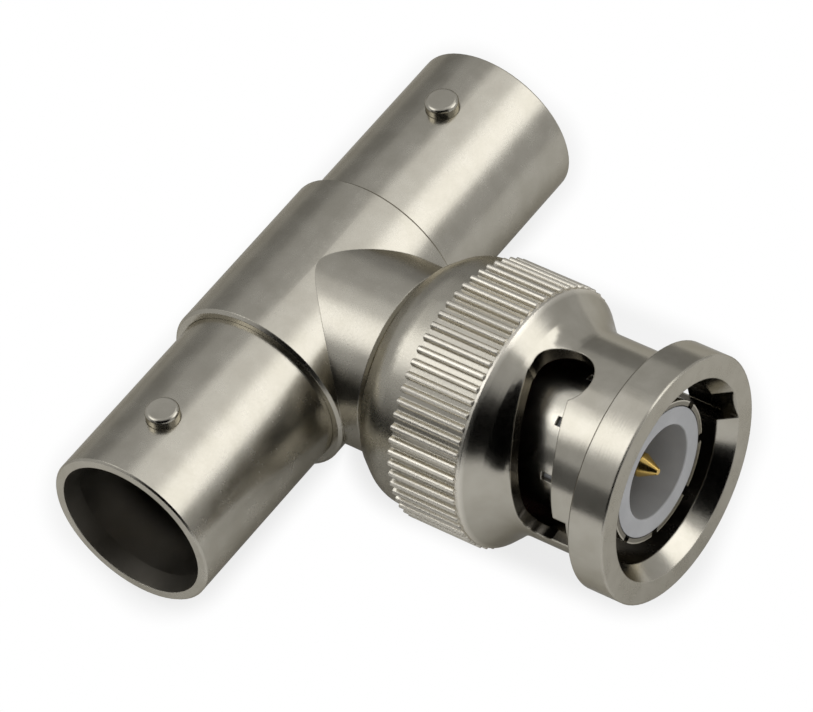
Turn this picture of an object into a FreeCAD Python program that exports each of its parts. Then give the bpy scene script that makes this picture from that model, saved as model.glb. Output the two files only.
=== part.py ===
"""Bayonet-lock coaxial tee adapter: one male plug and two female jacks on a common tee body.

Origin where the barrel axis (Y, through both jacks) crosses the plug axis (X). The plug points
along +X, the far jack along +Y, the near jack along -Y, and +Z is square to the tee. Millimetres.
"""
import FreeCAD, Part
import math
import os
import Sketcher

os.makedirs("parts", exist_ok=True)
doc = FreeCAD.newDocument("coaxial_tee")

# Every size that can be set by itself, in millimetres, degrees or a plain count. The radii grow
# outward from the pin: contact, insulator, shells, spigot and nut follow by walls and clearances.
SIZES = (
    # tee body
    ("barrel_wall", 0.51),
    ("barrel_half_length", 5.45),
    ("boss_step", 0.09),
    ("boss_end", 6.6),
    ("body_edge_break", 0.16),
    ("plug_seat_step", 0.6),
    ("jack_seat_depth", 1.45),
    # female jacks
    ("jack_length", 11.24),
    ("jack_wall", 0.77),
    ("mouth_flare", 0.22),
    ("mouth_lead_in", 1.1),
    ("mouth_edge_break", 0.1),
    ("jack_bore_depth", 8.49),
    ("jack_lip_thickness", 1.0),
    ("jack_lip_step", 0.63),
    ("jack_nose_wall", 1.2),
    ("jack_nose_gap", 1.73),
    ("jack_nose_setback", 4.2),
    # bayonet studs
    ("stud_radius", 0.92),
    ("stud_setback", 4.07),
    ("stud_reach", 0.61),
    ("stud_edge_round", 0.22),
    ("stud_web", 0.25),
    # inner conductor
    ("contact_wall", 0.43),
    ("contact_setback", 4.8),
    ("contact_bore_depth", 5.0),
    ("contact_slot_width", 0.25),
    ("contact_slot_length", 3.2),
    ("tail_radius", 0.6),
    ("tail_gap", 0.2),
    ("block_margin", 1.1),
    # male plug
    ("plug_tail_step", 0.75),
    ("plug_tail_length", 3.2),
    ("plug_wall", 0.5),
    ("neck_step", 0.65),
    ("collar_length", 1.9),
    ("spigot_length", 9.55),
    ("finger_wall", 0.3),
    ("finger_slot_width", 0.5),
    ("finger_slot_length", 4.6),
    ("finger_count", 8),
    ("finger_turn", -15.0),
    ("sleeve_floor", 1.0),
    ("sleeve_countersink", 0.05),
    ("pin_radius", 0.66),
    ("pin_setback", 0.02),
    ("pin_point_length", 0.95),
    ("pin_point_radius", 0.17),
    ("seal_length", 1.45),
    # coupling nut
    ("nut_gap", 0.5),
    ("nut_wall", 1.2),
    ("nut_rear_drop", 1.32),
    ("nut_rear_round", 0.25),
    ("nut_knee", 1.2),
    ("nut_knee_drop", 0.42),
    ("nut_knee_round", 2.0),
    ("nut_bevel_length", 2.75),
    ("knurl_length", 4.15),
    ("knurl_height", 1.65),
    ("knurl_depth", 0.3),
    ("knurl_count", 62),
    ("knurl_land", 0.14),
    ("knurl_crest", 0.09),
    ("knurl_crest_drop", 0.08),
    ("knurl_flank", 0.06),
    ("rim_length", 0.2),
    ("rim_drop", 0.13),
    ("shoulder_angle", 45.0),
    ("shoulder_round", 2.2),
    ("drum_wall", 0.7),
    ("drum_length", 5.08),
    ("flange_length", 2.15),
    ("flange_height", 1.23),
    ("flange_edge_break", 0.08),
    ("nut_countersink_flare", 0.65),
    ("nut_countersink_depth", 0.95),
    ("nut_turn", 4.7),
    # bayonet slots of the nut
    ("entry_wall", 0.16),
    ("entry_open_length", 1.9),
    ("slot_play", 0.66),
    ("entry_foot", 5.0),
    ("knee_angle", 135.3),
    ("knee_rise", 0.57),
    ("ramp_end_angle", 99.3),
    ("ramp_rise", 1.33),
    ("lock_angle", 92.3),
    ("lock_setback", 6.0),
    ("lock_margin", 0.37),
    ("lock_blend", 0.02),
    # spring stack behind the collar
    ("thrust_washer_thickness", 0.4),
    ("wave_height", 0.7),
    ("wave_thickness", 0.22),
    ("wave_count", 3),
    # clearances
    ("press_clearance", 0.01),
    ("seat_clearance", 0.05),
    ("running_clearance", 0.1),
    ("nut_play", 0.15),
    ("collar_clearance", 0.14),
    ("spigot_play", 0.1),
    ("nose_play", 0.27),
    ("contact_play", 0.06),
    ("entry_play", 0.31),
)

# Radii and places that follow from the sizes above
PLACES = (
    ("contact_bore_radius", "=Sizes.pin_radius + Sizes.contact_play"),
    ("contact_radius", "=contact_bore_radius + Sizes.contact_wall"),
    ("jack_nose_radius", "=contact_radius + Sizes.jack_nose_wall"),
    ("jack_bore_radius", "=jack_nose_radius + Sizes.jack_nose_gap"),
    ("jack_radius", "=jack_bore_radius + Sizes.jack_wall"),
    ("barrel_radius", "=jack_radius + Sizes.barrel_wall"),
    ("boss_radius", "=barrel_radius - Sizes.boss_step"),
    ("jack_rear_bore_radius", "=jack_bore_radius - Sizes.jack_lip_step"),
    ("stud_tip_radius", "=jack_radius + Sizes.stud_reach"),
    ("nut_bore_radius", "=jack_radius + Sizes.nut_play"),
    ("collar_radius", "=nut_bore_radius - Sizes.collar_clearance"),
    ("neck_radius", "=nut_bore_radius - Sizes.neck_step"),
    ("plug_tail_radius", "=neck_radius - Sizes.plug_tail_step"),
    ("core_bore_radius", "=plug_tail_radius - Sizes.plug_seat_step"),
    ("block_half", "=core_bore_radius - Sizes.block_margin"),
    ("tail_length", "=block_half - Sizes.tail_radius - Sizes.tail_gap"),
    ("finger_radius", "=jack_bore_radius - Sizes.spigot_play"),
    ("sleeve_bore_radius", "=jack_nose_radius + Sizes.nose_play"),
    ("drum_radius", "=nut_bore_radius + Sizes.drum_wall"),
    ("flange_radius", "=drum_radius + Sizes.flange_height"),
    ("knurl_radius", "=drum_radius + Sizes.knurl_height"),
    ("rim_radius", "=knurl_radius - Sizes.rim_drop"),
    ("nut_knee_radius", "=knurl_radius - Sizes.nut_knee_drop"),
    ("nut_rear_radius", "=knurl_radius - Sizes.nut_rear_drop"),
    ("nut_countersink_radius", "=nut_bore_radius + Sizes.nut_countersink_flare"),
    ("entry_depth_radius", "=drum_radius - Sizes.entry_wall"),
    ("entry_width", "=2 * Sizes.stud_radius + Sizes.entry_play"),
    ("jack_seat", "=Sizes.barrel_half_length - Sizes.jack_seat_depth"),
    ("jack_mouth", "=Sizes.barrel_half_length + Sizes.jack_length"),
    ("jack_floor", "=jack_mouth - Sizes.jack_bore_depth"),
    ("jack_lip_back", "=jack_floor - Sizes.jack_lip_thickness"),
    ("nose_face", "=jack_mouth - Sizes.jack_nose_setback"),
    ("contact_mouth", "=jack_mouth - Sizes.contact_setback"),
    ("stud_place", "=jack_mouth - Sizes.stud_setback"),
    ("stud_floor", "=jack_bore_radius + Sizes.stud_web"),
    ("stud_foot", "=stud_floor + Sizes.press_clearance"),
    ("insulator_radius", "=jack_rear_bore_radius - Sizes.seat_clearance"),
    ("contact_hole", "=contact_radius + Sizes.seat_clearance"),
    ("tail_hole", "=Sizes.tail_radius + Sizes.press_clearance"),
    ("plug_tail", "=Sizes.boss_end - Sizes.plug_tail_length"),
    ("plug_bore", "=plug_tail_radius - Sizes.plug_wall"),
    ("bead_radius", "=plug_bore - Sizes.seat_clearance"),
    ("nut_rear", "=Sizes.boss_end + Sizes.nut_gap"),
    ("nut_wall_front", "=nut_rear + Sizes.nut_wall"),
    ("nut_hole", "=neck_radius + Sizes.running_clearance"),
    ("washer_front", "=nut_wall_front + Sizes.seat_clearance + Sizes.thrust_washer_thickness"),
    ("wave_bore", "=neck_radius + Sizes.running_clearance"),
    ("wave_outer", "=nut_bore_radius - Sizes.running_clearance"),
    ("collar_back", "=washer_front + 2 * Sizes.wave_height + 3 * Sizes.seat_clearance"),
    ("collar_front", "=collar_back + Sizes.collar_length"),
    ("finger_tip", "=collar_front + Sizes.spigot_length"),
    ("finger_slot_back", "=finger_tip - Sizes.finger_slot_length"),
    ("finger_bore", "=finger_radius - Sizes.finger_wall"),
    ("sleeve_radius", "=finger_bore - Sizes.seat_clearance"),
    ("sleeve_floor_front", "=collar_front + Sizes.sleeve_floor"),
    ("pin_tip", "=finger_tip - Sizes.pin_setback"),
    ("pin_hole", "=Sizes.pin_radius + Sizes.seat_clearance"),
    ("seal_bore", "=finger_radius + Sizes.press_clearance"),
    ("knurl_back", "=nut_rear + Sizes.nut_bevel_length"),
    ("knurl_floor", "=knurl_radius - Sizes.knurl_depth"),
    ("knurl_front", "=knurl_back + Sizes.knurl_length"),
    ("rim_front", "=knurl_front + Sizes.rim_length"),
    ("shoulder_foot", "=rim_front + (rim_radius - drum_radius) / tan(Sizes.shoulder_angle * 1deg)"),
    ("shoulder_slope", "=(rim_radius - drum_radius) / sin(Sizes.shoulder_angle * 1deg)"),
    ("shoulder_limit", "=0.9 * shoulder_slope / tan(Sizes.shoulder_angle * 0.5deg)"),
    ("shoulder_fillet", "=min(Sizes.shoulder_round; shoulder_limit)"),
    ("flange_back", "=shoulder_foot + Sizes.drum_length"),
    ("nut_front", "=flange_back + Sizes.flange_length"),
    ("slot_width", "=2 * Sizes.stud_radius + Sizes.slot_play"),
    ("entry_end", "=nut_front - Sizes.entry_foot"),
    ("entry_open_end", "=entry_end + Sizes.entry_open_length"),
    ("ramp_knee", "=entry_end - Sizes.knee_rise"),
    ("ramp_end", "=entry_end - Sizes.ramp_rise"),
    ("lock_place", "=nut_front - Sizes.lock_setback"),
    ("lock_width", "=slot_width + 2 * Sizes.lock_margin"),
    ("ramp_mouth", "=lock_place - Sizes.lock_margin + Sizes.lock_blend"),
)


def make_sheet(name, rows):
    """Fills a spreadsheet with one aliased cell a row."""
    sheet = doc.addObject("Spreadsheet::Sheet", name)
    for row, (alias, content) in enumerate(rows, start=1):
        sheet.set("A%d" % row, alias)
        sheet.set("B%d" % row, str(content))
        sheet.setAlias("B%d" % row, alias)
    doc.recompute()
    return sheet


sizes_sheet = make_sheet("Sizes", SIZES)
places_sheet = make_sheet("Places", PLACES)
SIZE_NAMES = {alias for alias, content in SIZES}


def value(alias):
    """The number that a cell holds."""
    sheet = sizes_sheet if alias in SIZE_NAMES else places_sheet
    return float(sheet.get(alias))


def expression(text):
    """Writes a formula of cell names and numbers with the sheet's name before each cell name."""
    words = text.split()
    known = {alias for alias, content in PLACES}
    full = ["Sizes." + w if w in SIZE_NAMES else "Places." + w if w in known else w for w in words]
    return " ".join(full)


def bind(target, **formulas):
    """Ties properties to cells; a double underscore stands for the dot in a property's path."""
    for path, formula in formulas.items():
        target.setExpression(path.replace("__", "."), expression(formula))


def origin_plane(body, role):
    """One of the body's own origin planes."""
    return next(feature for feature in body.Origin.OriginFeatures if feature.Role == role)


def profile_sketch(body, name, role, outline):
    """A closed outline of straight lines, each corner placed from the origin by two formulas."""
    sketch = body.newObject("Sketcher::SketchObject", name)
    sketch.AttachmentSupport = [(origin_plane(body, role), "")]
    sketch.MapMode = "FlatFace"
    count = len(outline)
    corners = [FreeCAD.Vector(10 + 5 * math.cos(k * 2 * math.pi / count),
                              10 + 5 * math.sin(k * 2 * math.pi / count), 0) for k in range(count)]
    for k in range(count):
        sketch.addGeometry(Part.LineSegment(corners[k], corners[(k + 1) % count]), False)
    for k in range(count):
        sketch.addConstraint(Sketcher.Constraint("Coincident", k, 2, (k + 1) % count, 1))
    for k, (along, radius) in enumerate(outline):
        for kind, formula in (("DistanceX", along), ("DistanceY", radius)):
            index = sketch.addConstraint(Sketcher.Constraint(kind, -1, 1, k, 1, 1.0))
            sketch.setExpression("Constraints[%d]" % index, expression(formula))
    doc.recompute()
    return sketch


def turned_feature(body, name, role, outline, cuts=False):
    """Turns an outline about the sketch's first axis, adding to the body or cutting it."""
    sketch = profile_sketch(body, name + "_outline", role, outline)
    kind = "PartDesign::Groove" if cuts else "PartDesign::Revolution"
    feature = body.newObject(kind, name)
    feature.Profile = (sketch, [""])
    feature.ReferenceAxis = (sketch, ["H_Axis"])
    feature.Angle = 360.0
    doc.recompute()
    return feature


def turned_body(name, role, outline):
    """A body turned from one outline; its first axis is X on XZ_Plane and Y on YZ_Plane."""
    body = doc.addObject("PartDesign::Body", name)
    body.Label = name
    turned_feature(body, name + "_turned", role, outline)
    return body


def rounded_edge(body, name, radius, along, edge_radius):
    """Rounds the body's ring-shaped edge that lies at a place along X with a radius."""
    base = body.Tip
    for number, edge in enumerate(base.Shape.Edges, start=1):
        ring = edge.Curve
        if isinstance(ring, Part.Circle) and abs(ring.Center.x - along) < 1e-4 \
                and abs(ring.Radius - edge_radius) < 1e-4:
            fillet = body.newObject("PartDesign::Fillet", name)
            fillet.Base = (base, ["Edge%d" % number])
            bind(fillet, Radius=radius)
            doc.recompute()
            return
    raise RuntimeError("no edge for " + name)


def cylinder(name, radius, height, axis, **place):
    """A cylinder tool of bound radius and height that starts at a bound place along an axis."""
    tool = doc.addObject("Part::Cylinder", name)
    tool.Placement = FreeCAD.Placement(FreeCAD.Vector(), FreeCAD.Rotation(FreeCAD.Vector(0, 0, 1), axis))
    bind(tool, Radius=radius, Height=height, **place)
    return tool


def box(name, length, width, height, **place):
    """A box tool of bound sides with its corner at a bound place."""
    tool = doc.addObject("Part::Box", name)
    bind(tool, Length=length, Width=width, Height=height, **place)
    return tool


def cut(name, base, tools):
    """Cuts the tools out of the base, as the sub-part of that name."""
    tool = tools[0]
    if len(tools) > 1:
        tool = doc.addObject("Part::MultiFuse", name + "_tools")
        tool.Shapes = tools
    base.Label = name + "_blank"
    result = doc.addObject("Part::Cut", name)
    result.Base = base
    result.Tool = tool
    result.Label = name
    doc.recompute()
    return result


def turn_about(target, axis, angle):
    """Places a sub-part by a turn about an axis through the origin."""
    target.Placement = FreeCAD.Placement(FreeCAD.Vector(), FreeCAD.Rotation(axis, angle))
    return target


AXIS_X = FreeCAD.Vector(1, 0, 0)
AXIS_Y = FreeCAD.Vector(0, 1, 0)
AXIS_Z = FreeCAD.Vector(0, 0, 1)


def tee_body():
    """Turned barrel with the plug's boss, bored along both axes and counterbored for the shells."""
    body = turned_body("tee_body", "YZ_Plane", (
        ("0 - barrel_half_length", "0"),
        ("barrel_half_length", "0"),
        ("barrel_half_length", "barrel_radius - body_edge_break"),
        ("barrel_half_length - body_edge_break", "barrel_radius"),
        ("body_edge_break - barrel_half_length", "barrel_radius"),
        ("0 - barrel_half_length", "barrel_radius - body_edge_break")))
    turned_feature(body, "boss", "XZ_Plane", (
        ("0", "0"),
        ("boss_end", "0"),
        ("boss_end", "boss_radius - body_edge_break"),
        ("boss_end - body_edge_break", "boss_radius"),
        ("0", "boss_radius")))
    turned_feature(body, "barrel_bore", "YZ_Plane", (
        ("0 - barrel_half_length - 1", "0"),
        ("barrel_half_length + 1", "0"),
        ("barrel_half_length + 1", "jack_radius + press_clearance"),
        ("jack_seat", "jack_radius + press_clearance"),
        ("jack_seat", "core_bore_radius"),
        ("0 - jack_seat", "core_bore_radius"),
        ("0 - jack_seat", "jack_radius + press_clearance"),
        ("0 - barrel_half_length - 1", "jack_radius + press_clearance")), cuts=True)
    turned_feature(body, "boss_bore", "XZ_Plane", (
        ("0", "0"),
        ("boss_end + 1", "0"),
        ("boss_end + 1", "plug_tail_radius + press_clearance"),
        ("plug_tail", "plug_tail_radius + press_clearance"),
        ("plug_tail", "core_bore_radius"),
        ("0", "core_bore_radius")), cuts=True)
    return [body]


def jack(side, turn):
    """One female jack: shell, two studs pressed into blind holes, insulator and slotted socket contact."""
    shell = turned_body(side + "_jack_shell", "YZ_Plane", (
        ("jack_seat", "jack_rear_bore_radius"),
        ("jack_lip_back", "jack_rear_bore_radius"),
        ("jack_lip_back", "jack_nose_radius + seat_clearance"),
        ("jack_floor", "jack_nose_radius + seat_clearance"),
        ("jack_floor", "jack_bore_radius"),
        ("jack_mouth - mouth_lead_in", "jack_bore_radius"),
        ("jack_mouth", "jack_bore_radius + mouth_flare"),
        ("jack_mouth", "jack_radius - mouth_edge_break"),
        ("jack_mouth - mouth_edge_break", "jack_radius"),
        ("jack_seat", "jack_radius")))
    stud_holes = []
    for level, lift in (("upper", 1), ("lower", -1)):
        stud_holes.append(cylinder("%s_%s_stud_hole" % (side, level), "stud_radius + press_clearance",
                                   "stud_tip_radius - stud_floor", AXIS_Z * lift,
                                   Placement__Base__y="stud_place",
                                   Placement__Base__z="stud_floor" if lift > 0 else "0 - stud_floor"))
    shell = cut(side + "_jack_shell", shell, stud_holes)

    insulator = turned_body(side + "_jack_insulator", "YZ_Plane", (
        ("jack_seat", "contact_hole"),
        ("nose_face", "contact_hole"),
        ("nose_face", "jack_nose_radius"),
        ("jack_lip_back - seat_clearance", "jack_nose_radius"),
        ("jack_lip_back - seat_clearance", "insulator_radius"),
        ("jack_seat", "insulator_radius")))

    contact = turned_body(side + "_socket_contact", "YZ_Plane", (
        ("block_half - tail_length", "0"),
        ("contact_mouth - contact_bore_depth", "0"),
        ("contact_mouth - contact_bore_depth", "contact_bore_radius"),
        ("contact_mouth", "contact_bore_radius"),
        ("contact_mouth", "contact_radius"),
        ("block_half", "contact_radius"),
        ("block_half", "tail_radius"),
        ("block_half - tail_length", "tail_radius")))
    slots = []
    for name, wide, tall in (("flat", "3 * contact_radius", "contact_slot_width"),
                             ("upright", "contact_slot_width", "3 * contact_radius")):
        slots.append(box("%s_%s_slot" % (side, name), wide, "contact_slot_length + 1", tall,
                         Placement__Base__x="0 - ( %s ) / 2" % wide,
                         Placement__Base__y="contact_mouth - contact_slot_length",
                         Placement__Base__z="0 - ( %s ) / 2" % tall))
    contact = cut(side + "_socket_contact", contact, slots)

    pieces = [shell, insulator, contact]
    for piece in pieces:
        turn_about(piece, AXIS_Z, turn)
    for level, lift in (("upper", 1), ("lower", -1)):
        stud = turned_body("%s_%s_stud" % (side, level), "XZ_Plane", (
            ("stud_foot", "0"),
            ("stud_tip_radius", "0"),
            ("stud_tip_radius", "stud_radius"),
            ("stud_foot", "stud_radius")))
        rounded_edge(stud, "%s_%s_stud_edge" % (side, level), "stud_edge_round",
                     value("stud_tip_radius"), value("stud_radius"))
        turn_about(stud, AXIS_Y, -90 * lift)
        bind(stud, Placement__Base__y="stud_place" if turn == 0 else "0 - stud_place")
        pieces.append(stud)
    return pieces


def junction_block():
    """Brass cube at the crossing that takes the tails of the three contacts."""
    blank = box("junction_block_blank", "2 * block_half", "2 * block_half", "2 * block_half",
                Placement__Base__x="0 - block_half", Placement__Base__y="0 - block_half",
                Placement__Base__z="0 - block_half")
    reach = "tail_length + 1 + seat_clearance"
    start = "block_half - tail_length - seat_clearance"
    holes = [cylinder("far_tail_hole", "tail_hole", reach, AXIS_Y, Placement__Base__y=start),
             cylinder("near_tail_hole", "tail_hole", reach, -AXIS_Y, Placement__Base__y="0 - ( %s )" % start),
             cylinder("plug_tail_hole", "tail_hole", reach, AXIS_X, Placement__Base__x=start)]
    return [cut("junction_block", blank, holes)]


def plug_core():
    """Gold pin, the bead that centres its shank and the white sleeve round its tip."""
    pin = turned_body("plug_pin", "XZ_Plane", (
        ("block_half - tail_length", "0"),
        ("pin_tip", "0"),
        ("pin_tip", "pin_point_radius"),
        ("pin_tip - pin_point_length", "pin_radius"),
        ("collar_front - sleeve_floor - seat_clearance", "pin_radius"),
        ("collar_front - sleeve_floor - seat_clearance", "contact_radius"),
        ("block_half", "contact_radius"),
        ("block_half", "tail_radius"),
        ("block_half - tail_length", "tail_radius")))
    bead = turned_body("support_bead", "XZ_Plane", (
        ("plug_tail", "contact_hole"),
        ("collar_front - sleeve_floor", "contact_hole"),
        ("collar_front - sleeve_floor", "pin_hole"),
        ("collar_front", "pin_hole"),
        ("collar_front", "bead_radius"),
        ("plug_tail", "bead_radius")))
    sleeve = turned_body("plug_sleeve", "XZ_Plane", (
        ("collar_front", "pin_hole"),
        ("sleeve_floor_front", "pin_hole"),
        ("sleeve_floor_front", "sleeve_bore_radius"),
        ("finger_tip - sleeve_countersink", "sleeve_bore_radius"),
        ("finger_tip", "sleeve_bore_radius + sleeve_countersink"),
        ("finger_tip", "sleeve_radius"),
        ("collar_front", "sleeve_radius")))
    return [pin, bead, sleeve]


def plug_shell():
    """Outer contact: tail pressed into the boss, neck for the nut, collar and slotted spigot."""
    body = turned_body("plug_shell", "XZ_Plane", (
        ("plug_tail", "plug_bore"),
        ("collar_front", "plug_bore"),
        ("collar_front", "finger_bore"),
        ("finger_tip", "finger_bore"),
        ("finger_tip", "finger_radius"),
        ("collar_front", "finger_radius"),
        ("collar_front", "collar_radius"),
        ("collar_back", "collar_radius"),
        ("collar_back", "neck_radius"),
        ("boss_end", "neck_radius"),
        ("boss_end", "plug_tail_radius"),
        ("plug_tail", "plug_tail_radius")))
    slots = doc.addObject("Part::Feature", "finger_slots")
    half = value("finger_slot_width") / 2
    start = FreeCAD.Vector(value("finger_slot_back"), -half, 0)
    one = Part.makeBox(value("finger_slot_length") + 1, 2 * half, 2 * value("finger_radius"), start)
    count = int(value("finger_count"))
    turns = [one.copy().rotate(FreeCAD.Vector(), AXIS_X, k * 360 / count) for k in range(count)]
    slots.Shape = Part.makeCompound(turns)
    shell = cut("plug_shell", body, [slots])
    turn_about(shell, AXIS_X, value("finger_turn"))
    return [shell]


def sealing_ring():
    """Dark red rubber ring against the collar, where a mated jack's rim lands."""
    return [turned_body("sealing_ring", "XZ_Plane", (
        ("collar_front", "seal_bore"),
        ("collar_front + seal_length", "seal_bore"),
        ("collar_front + seal_length", "collar_radius"),
        ("collar_front", "collar_radius")))]


def thrust_washer():
    """Flat washer between the nut's rear wall and the wave washers."""
    return [turned_body("thrust_washer", "XZ_Plane", (
        ("nut_wall_front + seat_clearance", "wave_bore"),
        ("washer_front", "wave_bore"),
        ("washer_front", "wave_outer"),
        ("nut_wall_front + seat_clearance", "wave_outer")))]


def wave_edge(radius, middle, swing):
    """A closed wavy edge round the plug axis."""
    steps = 12 * int(value("wave_count"))
    points = []
    for k in range(steps):
        angle = k * 2 * math.pi / steps
        along = middle + swing * math.cos(value("wave_count") * angle)
        points.append(FreeCAD.Vector(along, radius * math.cos(angle), radius * math.sin(angle)))
    curve = Part.BSplineCurve()
    curve.interpolate(points, PeriodicFlag=True)
    return curve.toShape()


def wave_washer(name, back):
    """Spring washer waved round its circle, from one square strip of spring steel."""
    swing = (value("wave_height") - value("wave_thickness")) / 2
    low = back + swing
    edges = [wave_edge(radius, middle, swing)
             for radius, middle in ((value("wave_bore"), low),
                                    (value("wave_outer"), low),
                                    (value("wave_outer"), low + value("wave_thickness")),
                                    (value("wave_bore"), low + value("wave_thickness")))]
    faces = [Part.makeRuledSurface(edges[k], edges[(k + 1) % 4]) for k in range(4)]
    washer = doc.addObject("Part::Feature", name)
    solid = Part.Solid(Part.Shell([face for sheet in faces for face in sheet.Faces]))
    washer.Shape = solid if solid.Volume > 0 else solid.reversed()
    washer.Placement = FreeCAD.Placement()
    washer.Label = name
    return washer


def wave_washers():
    """The two spring washers that draw the nut back towards the tee."""
    first = value("washer_front") + value("seat_clearance")
    second = first + value("wave_height") + value("seat_clearance")
    return [wave_washer("rear_wave_washer", first), wave_washer("front_wave_washer", second)]


def on_nut(radius, angle, along):
    """A point on a cylinder about the plug axis; the angle is in degrees from +Y towards +Z."""
    turn = math.radians(angle)
    return FreeCAD.Vector(along, radius * math.cos(turn), radius * math.sin(turn))


def radial_prism(angle, x_from, x_to, width, reach_in, reach_out):
    """A box tool that stands out from the plug axis at an angle."""
    solid = Part.makeBox(x_to - x_from, width, reach_out - reach_in,
                         FreeCAD.Vector(x_from, -width / 2, reach_in))
    return solid.rotate(FreeCAD.Vector(), AXIS_X, angle - 90)


def radial_drill(angle, along, width, reach_in, reach_out):
    """A round tool of the slot's width that stands out from the plug axis at an angle."""
    centre = on_nut(reach_in, angle, along)
    return Part.makeCylinder(width / 2, reach_out - reach_in, centre, on_nut(1, angle, 0))


def ramp_prism(angle_from, angle_to, x_from, x_to, width, reach_in, reach_out):
    """The helical stretch of a bayonet slot, its walls square to the plug axis."""
    arc = math.radians(abs(angle_to - angle_from)) * value("drum_radius")
    half = width / 2 / math.cos(math.atan2(abs(x_to - x_from), arc))
    steps = 16

    def rail(radius, side):
        points = [on_nut(radius, angle_from + (angle_to - angle_from) * k / steps,
                         x_from + (x_to - x_from) * k / steps + side * half) for k in range(steps + 1)]
        curve = Part.BSplineCurve()
        curve.interpolate(points)
        return curve.toShape()

    rails = [rail(reach_in, -1), rail(reach_in, 1), rail(reach_out, 1), rail(reach_out, -1)]
    faces = [Part.makeRuledSurface(rails[k], rails[(k + 1) % 4]) for k in range(4)]
    for end in (0, 1):
        corners = [edge.valueAt(edge.LastParameter if end else edge.FirstParameter) for edge in rails]
        faces.append(Part.Face(Part.makePolygon(corners + corners[:1])))
    solid = Part.Solid(Part.Shell([face for sheet in faces for face in sheet.Faces]))
    return solid if solid.Volume > 0 else solid.reversed()


def bayonet_slot():
    """One J slot: an entry channel inside the flange that opens through the drum behind it, a ramp that
    bends twice round the drum and a wider lock hole."""
    reach_in = (value("finger_radius") + value("nut_bore_radius")) / 2
    reach_out = value("knurl_radius") + 1
    width = value("slot_width")
    entry_angle = 180.0
    entry_end = value("entry_end")
    path = [(entry_angle, entry_end),
            (value("knee_angle"), value("ramp_knee")),
            (value("ramp_end_angle"), value("ramp_end"))]
    slot = radial_drill(entry_angle, entry_end, width, reach_in, reach_out)
    for (angle_from, x_from), (angle_to, x_to) in zip(path, path[1:]):
        slot = slot.fuse(ramp_prism(angle_from, angle_to, x_from, x_to, width, reach_in, reach_out))
        slot = slot.fuse(radial_drill(angle_to, x_to, width, reach_in, reach_out))
    lock_angle = value("lock_angle")
    slot = slot.fuse(ramp_prism(value("ramp_end_angle"), lock_angle, value("ramp_end"), value("ramp_mouth"),
                                width, reach_in, reach_out))
    lock_hole = radial_drill(lock_angle, value("lock_place"), value("lock_width"), reach_in, reach_out)
    opening = radial_prism(entry_angle, entry_end, value("entry_open_end"), value("entry_width"),
                           reach_in, reach_out)
    channel = radial_prism(entry_angle, entry_end, value("nut_front") + 1, value("entry_width"),
                           reach_in, value("entry_depth_radius"))
    return slot.fuse(lock_hole).fuse(opening).fuse(channel)


def knurl_groove():
    """One valley between two ridges of the knurl, whose crests fall away on both sides."""
    pitch = 2 * math.pi * value("knurl_radius") / value("knurl_count")
    ridge_top = value("knurl_radius")
    mouth = (pitch - value("knurl_land")) / 2
    waist = mouth - value("knurl_crest")
    floor = waist - value("knurl_flank")
    side = [(floor, value("knurl_floor")),
            (waist, ridge_top - value("knurl_crest_drop")),
            (mouth, ridge_top),
            (mouth, ridge_top + value("knurl_depth"))]
    outline = side + [(-across, level) for across, level in reversed(side)]
    corners = [FreeCAD.Vector(value("knurl_back"), across, level) for across, level in outline]
    face = Part.Face(Part.makePolygon(corners + corners[:1]))
    return face.extrude(FreeCAD.Vector(value("knurl_length"), 0, 0))


def coupling_nut():
    """Knurled nut that turns on the plug's neck, with two J slots for a jack's studs."""
    body = turned_body("coupling_nut", "XZ_Plane", (
        ("nut_rear", "nut_hole"),
        ("nut_wall_front", "nut_hole"),
        ("nut_wall_front", "nut_bore_radius"),
        ("nut_front - nut_countersink_depth", "nut_bore_radius"),
        ("nut_front", "nut_countersink_radius"),
        ("nut_front", "flange_radius - flange_edge_break"),
        ("nut_front - flange_edge_break", "flange_radius"),
        ("flange_back + flange_edge_break", "flange_radius"),
        ("flange_back", "flange_radius - flange_edge_break"),
        ("flange_back", "drum_radius"),
        ("shoulder_foot", "drum_radius"),
        ("rim_front", "rim_radius"),
        ("knurl_front", "rim_radius"),
        ("knurl_front", "knurl_radius"),
        ("knurl_back", "knurl_radius"),
        ("knurl_back", "knurl_floor"),
        ("nut_rear + nut_knee", "nut_knee_radius"),
        ("nut_rear", "nut_rear_radius")))
    rounded_edge(body, "nut_rear_edge", "nut_rear_round", value("nut_rear"), value("nut_rear_radius"))
    rounded_edge(body, "nut_knee_edge", "nut_knee_round",
                 value("nut_rear") + value("nut_knee"), value("nut_knee_radius"))
    rounded_edge(body, "shoulder_edge", "shoulder_fillet", value("shoulder_foot"), value("drum_radius"))
    tools = doc.addObject("Part::Feature", "nut_tools")
    slot = bayonet_slot()
    groove = knurl_groove()
    count = int(value("knurl_count"))
    grooves = [groove.copy().rotate(FreeCAD.Vector(), AXIS_X, (k + 0.5) * 360 / count) for k in range(count)]
    slots = [slot.copy().rotate(FreeCAD.Vector(), AXIS_X, turn) for turn in (0, 180)]
    tools.Shape = Part.makeCompound(grooves + slots)
    nut = cut("coupling_nut", body, [tools])
    turn_about(nut, AXIS_X, value("nut_turn"))
    return [nut]


def check(piece):
    """Stops the build if a sub-part is missing, broken or not one solid."""
    shape = piece.Shape
    if shape.isNull() or not shape.isValid() or len(shape.Solids) != 1:
        raise RuntimeError("%s: %d solids, valid %s" % (piece.Label, len(shape.Solids), shape.isValid()))


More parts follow.
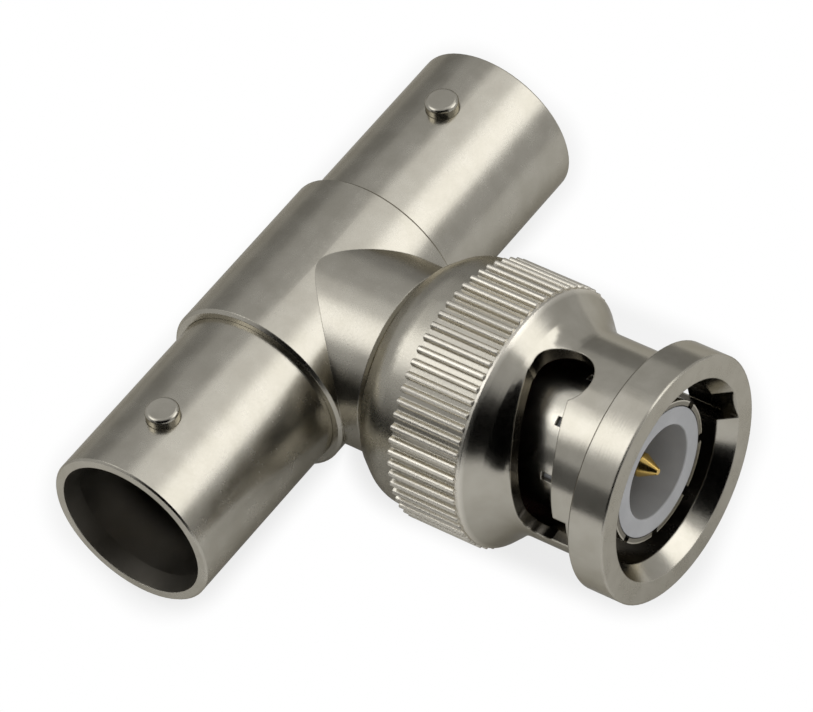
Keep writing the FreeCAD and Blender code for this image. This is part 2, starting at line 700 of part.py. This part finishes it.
def build():
    """Builds every sub-part, checks it and writes it to its file."""
    pieces = tee_body() + jack("near", 180) + jack("far", 0) + junction_block() + plug_core()
    pieces += plug_shell() + sealing_ring() + thrust_washer() + wave_washers() + coupling_nut()
    doc.recompute()
    for item in doc.Objects:
        if "Invalid" in item.State or "Error" in item.State:
            raise RuntimeError("%s: %s" % (item.Label, item.State))
    for piece in pieces:
        check(piece)
    for piece in pieces:
        piece.Shape.exportStep("parts/%s.step" % piece.Label)
        print(piece.Label, round(piece.Shape.Volume, 3))


build()
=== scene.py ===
import math

import bmesh
import bpy
from mathutils import Matrix, Vector


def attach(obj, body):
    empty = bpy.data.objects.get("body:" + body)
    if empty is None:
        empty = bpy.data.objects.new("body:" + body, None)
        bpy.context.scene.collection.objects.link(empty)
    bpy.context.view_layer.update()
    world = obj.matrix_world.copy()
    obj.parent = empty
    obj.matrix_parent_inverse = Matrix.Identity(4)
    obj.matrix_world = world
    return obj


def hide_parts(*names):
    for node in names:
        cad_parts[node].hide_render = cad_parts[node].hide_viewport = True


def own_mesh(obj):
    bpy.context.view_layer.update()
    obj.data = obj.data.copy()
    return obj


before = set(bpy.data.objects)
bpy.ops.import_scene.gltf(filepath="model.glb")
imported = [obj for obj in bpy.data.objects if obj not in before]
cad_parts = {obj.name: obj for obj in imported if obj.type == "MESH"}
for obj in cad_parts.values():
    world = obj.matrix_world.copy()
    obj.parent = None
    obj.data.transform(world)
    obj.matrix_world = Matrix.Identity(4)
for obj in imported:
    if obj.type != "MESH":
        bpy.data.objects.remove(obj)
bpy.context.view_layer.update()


# Tee body and jack shells: turned brass bars under satin nickel plate, tumbled before plating, so the
# surface is softly mottled with faint turned lines. The shells are pressed into the barrel's ends, and
# their bores are rougher and painted darker, as painted shade.
class Wire:
    """An output socket of a material's node."""

    def __init__(self, socket):
        self.socket = socket
        self.tree = socket.id_data

    def node(self, kind, out=0, inputs=(), **settings):
        """Any node: its settings first, then the values or wires of its sockets."""
        node = self.tree.nodes.new(kind)
        for name, value in settings.items():
            setattr(node, name, value)
        for name, value in inputs:
            self.feed(node.inputs[name], value)
        return Wire(node.outputs[out])

    def feed(self, socket, value):
        if isinstance(value, Wire):
            self.tree.links.new(value.socket, socket)
        else:
            socket.default_value = value

    def math(self, operation, *values):
        return self.node("ShaderNodeMath", inputs=enumerate(values), operation=operation)

    def __add__(self, other): return self.math("ADD", self, other)
    def __radd__(self, other): return self.math("ADD", other, self)
    def __sub__(self, other): return self.math("SUBTRACT", self, other)
    def __rsub__(self, other): return self.math("SUBTRACT", other, self)
    def __mul__(self, other): return self.math("MULTIPLY", self, other)
    def __rmul__(self, other): return self.math("MULTIPLY", other, self)
    def __truediv__(self, other): return self.math("DIVIDE", self, other)
    def __gt__(self, other): return self.math("GREATER_THAN", self, other)
    def __lt__(self, other): return self.math("LESS_THAN", self, other)
    def at_most(self, other): return self.math("MINIMUM", self, other)
    def at_least(self, other): return self.math("MAXIMUM", self, other)
    def size(self): return self.math("ABSOLUTE", self)
    def root(self): return self.math("SQRT", self)

    def ramp(self, start, end, low=0.0, high=1.0, **settings):
        """Goes from low at start to high at end."""
        return self.node("ShaderNodeMapRange", inputs=enumerate((self, start, end, low, high)), **settings)

    def blend(self, first, second):
        """Two colours mixed by this mask."""
        return self.node("ShaderNodeMix", out=2, inputs=((0, self), (6, first), (7, second)),
                         data_type="RGBA")


def new_finish(name, **shader):
    """A material with its constant sockets set, and its Object coordinates in millimetres."""
    finish = bpy.data.materials.new(name)
    finish.use_nodes = True
    body = finish.node_tree.nodes["Principled BSDF"]
    for socket, value in shader.items():
        body.inputs[socket.replace("_", " ")].default_value = value
    place = Wire(finish.node_tree.nodes.new("ShaderNodeTexCoord").outputs["Object"])
    millimetres = place.node("ShaderNodeVectorMath", inputs=((0, place), (3, 1000.0)), operation="SCALE")
    return finish, body, millimetres


def dress(finish, *nodes):
    """Gives CAD nodes a finish."""
    for name in nodes:
        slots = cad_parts[name].data.materials
        slots.clear()
        slots.append(finish)


MM = 0.001


def surface(name, axis, colours, zones, speckles=7.0, shade_colour=(0.05, 0.042, 0.035, 1), round_off=0.06,
            painted_highlight=None, **shader):
    """A turned piece's finish, from the places along its axis and off it, in millimetres. The zones give the
    levels of roughness, grain, turned lines and of painted shade in hollows, and the last mask marks a zone
    painted lighter as a highlight."""
    finish, body, place = new_finish(name, **shader)
    spots = [place.node("ShaderNodeSeparateXYZ", out=k, inputs=((0, place),)) for k in range(3)]
    along = spots.pop(axis)
    off = (spots[0] * spots[0] + spots[1] * spots[1]).root()
    level = zones(along, off)
    cloud = place.node("ShaderNodeTexNoise", inputs=(("Vector", place), ("Scale", 0.7), ("Detail", 3.0)))
    speckle = place.node("ShaderNodeTexNoise",
                         inputs=(("Vector", place), ("Scale", speckles), ("Detail", 3.0)))
    turned = place.node("ShaderNodeTexNoise", noise_dimensions="1D",
                        inputs=(("W", along + 1.7 * off), ("Scale", 7.0), ("Detail", 5.0),
                                ("Roughness", 0.75)))
    tint = cloud.ramp(0.35, 0.65).blend(*colours)
    # A masked zone is painted lighter towards a pale colour: a painted highlight.
    if painted_highlight:
        tint = painted_highlight(along, off).blend(tint, (0.80, 0.76, 0.67, 1))
    # Where a zone asks for it, the colour is painted darker towards the shade colour: painted shade in bores
    # and hollows.
    shade_painted_tint = place.node("ShaderNodeMix", out=2, inputs=((0, level["painted_shade_level"]), (6, tint), (7, shade_colour)),
                         data_type="RGBA")
    edge = place.node("ShaderNodeBevel", inputs=((0, round_off * MM),), samples=4)
    relief = place.node("ShaderNodeBump", inputs=(
        ("Strength", 0.25), ("Distance", 0.01 * MM),
        ("Height", level["grain"] * speckle + level["lines"] * turned), ("Normal", edge)))
    roughness = level["rough"] + 0.1 * (speckle - 0.5) + 0.12 * (cloud - 0.5)
    for socket, value in (("Base Color", shade_painted_tint), ("Normal", relief), ("Roughness", roughness)):
        value.feed(body.inputs[socket], value)
    return finish


def all_over(rough, grain, lines):
    """Zones for a piece with the same levels everywhere and no painted shade."""
    return lambda along, off: {"rough": rough, "grain": grain, "lines": lines, "painted_shade_level": 0.0}


NICKEL = (0.50, 0.473, 0.405, 1), (0.56, 0.532, 0.462, 1)
PLATE = {"Metallic": 1.0, "Specular_Tint": (0.60, 0.575, 0.52, 1)}
JACK_BORE = 4.29


def barrel_zones(along, off):
    bore = off < JACK_BORE
    # Inside the jack bores the colour is painted darker: painted shade.
    return {"rough": 0.25 + 0.2 * bore, "grain": 0.8, "lines": 0.35, "painted_shade_level": 0.68 * bore}


dress(surface("nickel_barrel", 1, NICKEL, barrel_zones, **PLATE),
      "tee_body", "near_jack_shell", "far_jack_shell")

# Bayonet studs: short brass pins under the same nickel plate, with a rounded end. Two are pressed into
# blind holes on opposite sides of each jack, and lock in a mating nut.
dress(surface("nickel_stud", 2, NICKEL, all_over(rough=0.2, grain=0.4, lines=0.1), **PLATE),
      "near_upper_stud", "near_lower_stud", "far_upper_stud", "far_lower_stud")

# Jack insulators: milky white fluorine plastic, turned from rod. Each sits in its shell, held by the
# lip behind the nose.
dress(surface("white_plastic", 1, ((0.66, 0.65, 0.62, 1), (0.74, 0.73, 0.70, 1)),
              all_over(rough=0.45, grain=0.8, lines=1.0), Specular_IOR_Level=0.4),
      "near_jack_insulator", "far_jack_insulator")

# Plug sleeve and support bead: the same plastic, painted greyer as shade where the metal round it takes the
# light. The sleeve is a push fit in the spigot, and its bore is painted darker towards the floor as shade.
SLEEVE_BORE, SLEEVE_MOUTH, SLEEVE_FLOOR = 2.66, 21.75, 15.0


def sleeve_zones(along, off):
    # The bore is painted darker towards its floor: painted shade.
    shaded = (off < SLEEVE_BORE) * along.ramp(SLEEVE_MOUTH, SLEEVE_FLOOR, 0.25, 0.7)
    return {"rough": 0.42, "grain": 0.6, "lines": 0.8, "painted_shade_level": shaded}


dress(surface("sleeve_plastic", 0, ((0.40, 0.402, 0.408, 1), (0.45, 0.452, 0.456, 1)), sleeve_zones,
              shade_colour=(0.16, 0.15, 0.13, 1), Specular_IOR_Level=0.4), "plug_sleeve", "support_bead")

# Pin, socket contacts and the block that joins them. Pin and contacts are turned brass under thin gold
# plate, and the block is bare sawn brass. Their tails are pressed into the block.
GOLD = (0.80, 0.52, 0.13, 1), (0.90, 0.64, 0.22, 1)
BARE_BRASS = (0.58, 0.42, 0.18, 1), (0.72, 0.54, 0.26, 1)
for name, axis, colours, nodes in (("gold_pin", 0, GOLD, ("plug_pin",)),
                                   ("gold_contact", 1, GOLD, ("near_socket_contact", "far_socket_contact")),
                                   ("raw_brass", 0, BARE_BRASS, ("junction_block",))):
    dress(surface(name, axis, colours, all_over(rough=0.2, grain=0.3, lines=0.6), Metallic=1.0), *nodes)

# Sealing ring: dark red moulded silicone, matt and a little dusty. It is stretched over the spigot
# against the collar.
dress(surface("seal_rubber", 0, ((0.10, 0.008, 0.010, 1), (0.16, 0.016, 0.014, 1)),
              all_over(rough=0.5, grain=1.5, lines=0.3)), "sealing_ring")

# Plug shell: turned brass under nickel, its colour painted lighter than the other plate as painted light,
# with a tail that is pressed into the boss, a neck, a collar and a slotted spigot whose fingers grip a mated
# jack's bore. Its bore is painted darker as shade.
NICKEL_PAINTED_LIT = (0.70, 0.665, 0.58, 1), (0.76, 0.73, 0.64, 1)
SPIGOT_BORE = 3.9


def spigot_zones(along, off):
    # Inside the spigot's bore the colour is painted darker: painted shade.
    return {"rough": 0.22, "grain": 0.4, "lines": 0.4, "painted_shade_level": 0.6 * (off < SPIGOT_BORE)}


dress(surface("nickel_spigot", 0, NICKEL_PAINTED_LIT, spigot_zones, **PLATE), "plug_shell")

# Washers behind the collar, stamped from rolled spring steel, greyer than the plate and streaked: a
# flat thrust washer that goes with the nut, and two waved rings that press it back.
dress(surface("spring_steel", 0, ((0.30, 0.30, 0.30, 1), (0.42, 0.41, 0.40, 1)),
              all_over(rough=0.35, grain=0.8, lines=0.8), Metallic=1.0),
      "thrust_washer", "rear_wave_washer", "front_wave_washer")

# The waved rings rest on the collar's rear face and flatten against it as the nut is pulled forward. Each is
# copied into a piece of its own on the tee, in place of its CAD node.
for name in ("rear_wave_washer", "front_wave_washer"):
    ring = bpy.data.objects.new(name.replace("washer", "ring"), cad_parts[name].data.copy())
    bpy.context.scene.collection.objects.link(ring)
    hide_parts(name)
    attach(ring, "tee")
    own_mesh(ring)

# Coupling nut: turned from a brass bar under nickel, free on the neck. Its rear bevel and rolled knurl
# are grainy from the tumbling, and shoulder, drum and flange are bright. The bore and the walls of the
# milled slots are painted darker as shade, and the knurl's ridge crests lighter as a painted highlight.
# Places are in millimetres from the T's centre, or off the axis.
NUT_REAR, KNURL_BACK, KNURL_FRONT = 8.35, 9.85, 14.5
GRAIN_END, GRAIN_FADE = 14.1, 14.4
RIDGE_FOOT, RIDGE_CREST = 7.0, 7.2
CONE_FOOT, FILLET_FRONT, FILLET_REACH = 15.07, 16.63, 1.556
FILLET_RADIUS, DRUM_RADIUS = 2.2, 5.7
SKIN, UNDER_KNURL = 0.07, 6.9
COUNTERSINK_FLOOR, NUT_FACE = 21.95, 22.93


def nut_zones(along, off):
    sunk = (FILLET_FRONT - along).at_least(0.0).at_most(FILLET_REACH)
    fillet = DRUM_RADIUS + FILLET_RADIUS - (FILLET_RADIUS * FILLET_RADIUS - sunk * sunk).root()
    outline = fillet + (CONE_FOOT - along).at_least(0.0)
    wall = (off < outline.at_most(UNDER_KNURL) - SKIN) * (along > NUT_REAR) * (along < COUNTERSINK_FLOOR)
    grainy = along.ramp(GRAIN_FADE, GRAIN_END)
    flare = (along > COUNTERSINK_FLOOR) * (off < DRUM_RADIUS)
    face = along > NUT_FACE
    # The bore and the slot walls are painted darker: painted shade.
    return {"rough": 0.17 + 0.11 * grainy + 0.12 * face + 0.08 * wall,
            "grain": 0.25 + 1.0 * grainy + 0.6 * face,
            "lines": 0.6 + 0.9 * flare,
            "painted_shade_level": 0.8 * wall}


def ridge_crests(along, off):
    # The knurl's ridge crests, where the nut's colour is painted lighter as a highlight.
    return (along > KNURL_BACK) * (along < KNURL_FRONT) * off.ramp(RIDGE_FOOT, RIDGE_CREST)


dress(surface("nickel_nut", 0, NICKEL, nut_zones, speckles=9.0, round_off=0.11, painted_highlight=ridge_crests, **PLATE),
      "coupling_nut")


# The photographer's view: a long lens about 36 cm away, looking down 47 degrees over the near jack's
# open mouth, with the plug to the right. No shift and no blur.
scene = bpy.context.scene
scene.view_settings.view_transform = "Standard"
lens = bpy.data.cameras.new("view")
lens.sensor_width = 36.0
lens.lens = 304.9
lens.clip_start = 0.01
lens.clip_end = 20.0
camera = bpy.data.objects.new("view", lens)
right = Vector((0.81232708, 0.57106769, -0.11834868))
down = Vector((0.35757041, -0.64800039, -0.67248709))
ahead = Vector((-0.46072564, 0.50396149, -0.73058518))
axes = Matrix((right, -down, -ahead)).transposed()
camera.matrix_world = Matrix.Translation((0.17203, -0.18176, 0.26392)) @ axes.to_4x4()
scene.collection.objects.link(camera)
scene.camera = camera

# The floor is a sheet of white paper under the two lower studs and the knurl's rear edge, so it is
# tilted to the part's own rest. It shows white to the lens and keeps the part's soft shadow.
STUD_TIP, STUD_AHEAD = 5.5, 0.82
KNURL_EDGE, KNURL_EDGE_AT = 7.35, 9.85
REST_TILT = math.atan2(KNURL_EDGE - STUD_TIP, KNURL_EDGE_AT + STUD_AHEAD)
PAPER_BACK, PAPER_FRONT, PAPER_HALF_WIDTH = -0.016, 0.09, 0.08
sheet = bmesh.new()
bmesh.ops.create_grid(sheet, x_segments=1, y_segments=1, size=1.0)
bmesh.ops.scale(sheet, verts=sheet.verts, vec=((PAPER_FRONT - PAPER_BACK) / 2, PAPER_HALF_WIDTH, 1))
bmesh.ops.translate(sheet, verts=sheet.verts, vec=((PAPER_FRONT + PAPER_BACK) / 2, 0, 0))
bmesh.ops.rotate(sheet, verts=sheet.verts, matrix=Matrix.Rotation(REST_TILT, 3, "Y"))
bmesh.ops.translate(sheet, verts=sheet.verts,
                    vec=(0, 0, (-STUD_TIP - STUD_AHEAD * math.tan(REST_TILT)) * MM))
floor_mesh = bpy.data.meshes.new("floor")
sheet.to_mesh(floor_mesh)
sheet.free()
floor = bpy.data.objects.new("floor", floor_mesh)
scene.collection.objects.link(floor)

# Near the part the paper mixes in less white, a painted shadow halo round the T's outline as the lens sees
# it, through which the real soft shadow also shows; a millimetre and a half away it fades into plain white.
# Each row is one
# bar of the T: its axis, middle, half length and half width, and how far its corners are rounded.
BARS = (Vector((0, 1, 0)), 0.0, 16.85, 4.9, 3.0), (Vector((1, 0, 0)), 13.75, 9.75, 7.0, 4.0)
FADE_START, FADE_END, WHITE_IN_PAINTED_HALO, MIRRORED_WHITE = -0.2, 1.5, 0.78, 0.08
paper, body, place = new_finish("paper", Base_Color=(0.62, 0.62, 0.62, 1), Roughness=1.0,
                                Specular_IOR_Level=0.0)
away = None
for axis, middle, half_length, half_width, rounding in BARS:
    bar = Vector((right.dot(axis), down.dot(axis))).normalized()
    gap = None
    for direction, start, half in ((bar.x * right + bar.y * down, middle, half_length),
                                   (bar.x * down - bar.y * right, 0.0, half_width)):
        reach = place.node("ShaderNodeVectorMath", out=1, inputs=((0, place), (1, direction)),
                           operation="DOT_PRODUCT")
        over = ((reach - start).size() - (half - rounding)).at_least(0.0)
        gap = over * over if gap is None else gap + over * over
    gap = gap.root() - rounding
    away = gap if away is None else away.at_most(gap)
fade = away.ramp(FADE_START, FADE_END, WHITE_IN_PAINTED_HALO, 1.0, interpolation_type="SMOOTHSTEP")
ray = paper.node_tree.nodes.new("ShaderNodeLightPath")
seen = Wire(ray.outputs["Is Camera Ray"])
mirrored = Wire(ray.outputs["Is Glossy Ray"]).at_least(Wire(ray.outputs["Is Transmission Ray"]))
white = place.node("ShaderNodeEmission", inputs=(("Color", (1, 1, 1, 1)), ("Strength", 1.0)))
sheet_look = place.node("ShaderNodeMixShader", inputs=((0, fade * seen + MIRRORED_WHITE * mirrored),
                                                       (1, Wire(body.outputs[0])), (2, white)))
sheet_look.feed(paper.node_tree.nodes["Material Output"].inputs["Surface"], sheet_look)
floor.data.materials.append(paper)

# The table is a matt white board about five centimetres under the paper and six times its size. It
# lights the part's underside, and the lens doesn't see it.
TABLE_SPREAD, TABLE_DROP = 6.0, 0.0256
table_top = new_finish("table_top", Base_Color=(0.8, 0.8, 0.8, 1), Roughness=1.0, Specular_IOR_Level=0.0)[0]
table_mesh = floor_mesh.copy()
table_mesh.materials.clear()
table_mesh.materials.append(table_top)
for corner in table_mesh.vertices:
    corner.co *= TABLE_SPREAD
    corner.co.z -= TABLE_DROP
table = bpy.data.objects.new("table", table_mesh)
table.visible_camera = False
scene.collection.objects.link(table)

# The room is plain white beyond the paper, at a plain level for everything that isn't polished. One
# round lamp stands at the left and casts the soft shadow.
ROOM = 0.85
world = bpy.data.worlds.new("studio")
scene.world = world
world.use_nodes = True
backdrop = world.node_tree.nodes["Background"]
backdrop.inputs["Color"].default_value = (1, 1, 1, 1)
ray = world.node_tree.nodes.new("ShaderNodeLightPath")
shown = Wire(ray.outputs["Is Camera Ray"])
for other in ("Is Glossy Ray", "Is Transmission Ray"):
    shown = shown.at_least(Wire(ray.outputs[other]))
shown.feed(backdrop.inputs["Strength"], ROOM + (1 - ROOM) * shown)

key_light = bpy.data.lights.new("key", "AREA")
key_light.shape = "DISK"
key_light.size = 0.25
key_light.energy = 0.35
key = bpy.data.objects.new("key", key_light)
key.visible_glossy = False
key_spot = Vector((-0.15, -0.10, 0.35))
key.matrix_world = Matrix.Translation(key_spot) @ key_spot.to_track_quat("Z", "Y").to_matrix().to_4x4()
scene.collection.objects.link(key)


# A grey tent stands round the part, with softboxes and black flags inside it. Only polished metal
# sees them, as bright bands and dark stripes.
def unseen(stand):
    """Puts a stand on the stage where only polished metal sees it."""
    stand.visible_camera = stand.visible_diffuse = stand.visible_shadow = stand.visible_transmission = False
    scene.collection.objects.link(stand)


def card(name, azimuth, elevation, distance, width, height, level, soft):
    """A glowing or black card that faces the part, its edges fading over a share of its size."""
    look, body, place = new_finish(name, Base_Color=(0, 0, 0, 1), Roughness=1.0, Specular_IOR_Level=0.0,
                                   Emission_Color=(1, 1, 1, 1), Emission_Strength=level)
    edge = None
    for axis, size in ((0, width), (1, height)):
        along = place.node("ShaderNodeSeparateXYZ", out=axis, inputs=((0, place),))
        fade = (along.size() / (size / 2 / MM)).ramp(1 - soft, 1.0, 1.0, 0.0, interpolation_type="SMOOTHSTEP")
        edge = fade if edge is None else edge * fade
    clear = place.node("ShaderNodeBsdfTransparent")
    mixed = place.node("ShaderNodeMixShader", inputs=((0, edge), (1, clear), (2, Wire(body.outputs[0]))))
    mixed.feed(look.node_tree.nodes["Material Output"].inputs["Surface"], mixed)
    sheet = bmesh.new()
    bmesh.ops.create_grid(sheet, x_segments=1, y_segments=1, size=0.5)
    bmesh.ops.scale(sheet, verts=sheet.verts, vec=(width, height, 1))
    mesh = bpy.data.meshes.new(name)
    sheet.to_mesh(mesh)
    sheet.free()
    mesh.materials.append(look)
    stand = bpy.data.objects.new(name, mesh)
    turn, rise = math.radians(azimuth), math.radians(elevation)
    spot = distance * Vector((math.cos(rise) * math.cos(turn), math.cos(rise) * math.sin(turn),
                              math.sin(rise)))
    stand.matrix_world = Matrix.Translation(spot) @ spot.to_track_quat("Z", "Y").to_matrix().to_4x4()
    unseen(stand)


card("softbox_right", 38, 38, 0.40, 0.30, 0.27, level=1.8, soft=0.25)
card("softbox_high", 79, 59, 0.42, 0.32, 0.24, level=1.0, soft=0.2)
card("softbox_left", 214, 52, 0.40, 0.28, 0.25, level=1.8, soft=0.4)
card("softbox_back", 170, 61, 0.42, 0.20, 0.20, level=0.8, soft=0.3)
card("shade_back", 134, 12, 0.50, 0.56, 0.30, level=0.25, soft=0.3)
card("flag_camera", 304, 28, 0.50, 0.90, 0.85, level=0.0, soft=0.2)
card("flag_left", 250, 6, 0.48, 0.32, 0.30, level=0.1, soft=0.3)

tent_cloth = new_finish("tent_cloth", Base_Color=(0, 0, 0, 1), Roughness=1.0, Specular_IOR_Level=0.0,
                        Emission_Color=(1, 1, 1, 1), Emission_Strength=0.45)[0]
dome = bmesh.new()
bmesh.ops.create_uvsphere(dome, u_segments=48, v_segments=24, radius=0.7)
tent_mesh = bpy.data.meshes.new("tent")
dome.to_mesh(tent_mesh)
dome.free()
tent_mesh.materials.append(tent_cloth)
unseen(bpy.data.objects.new("tent", tent_mesh))
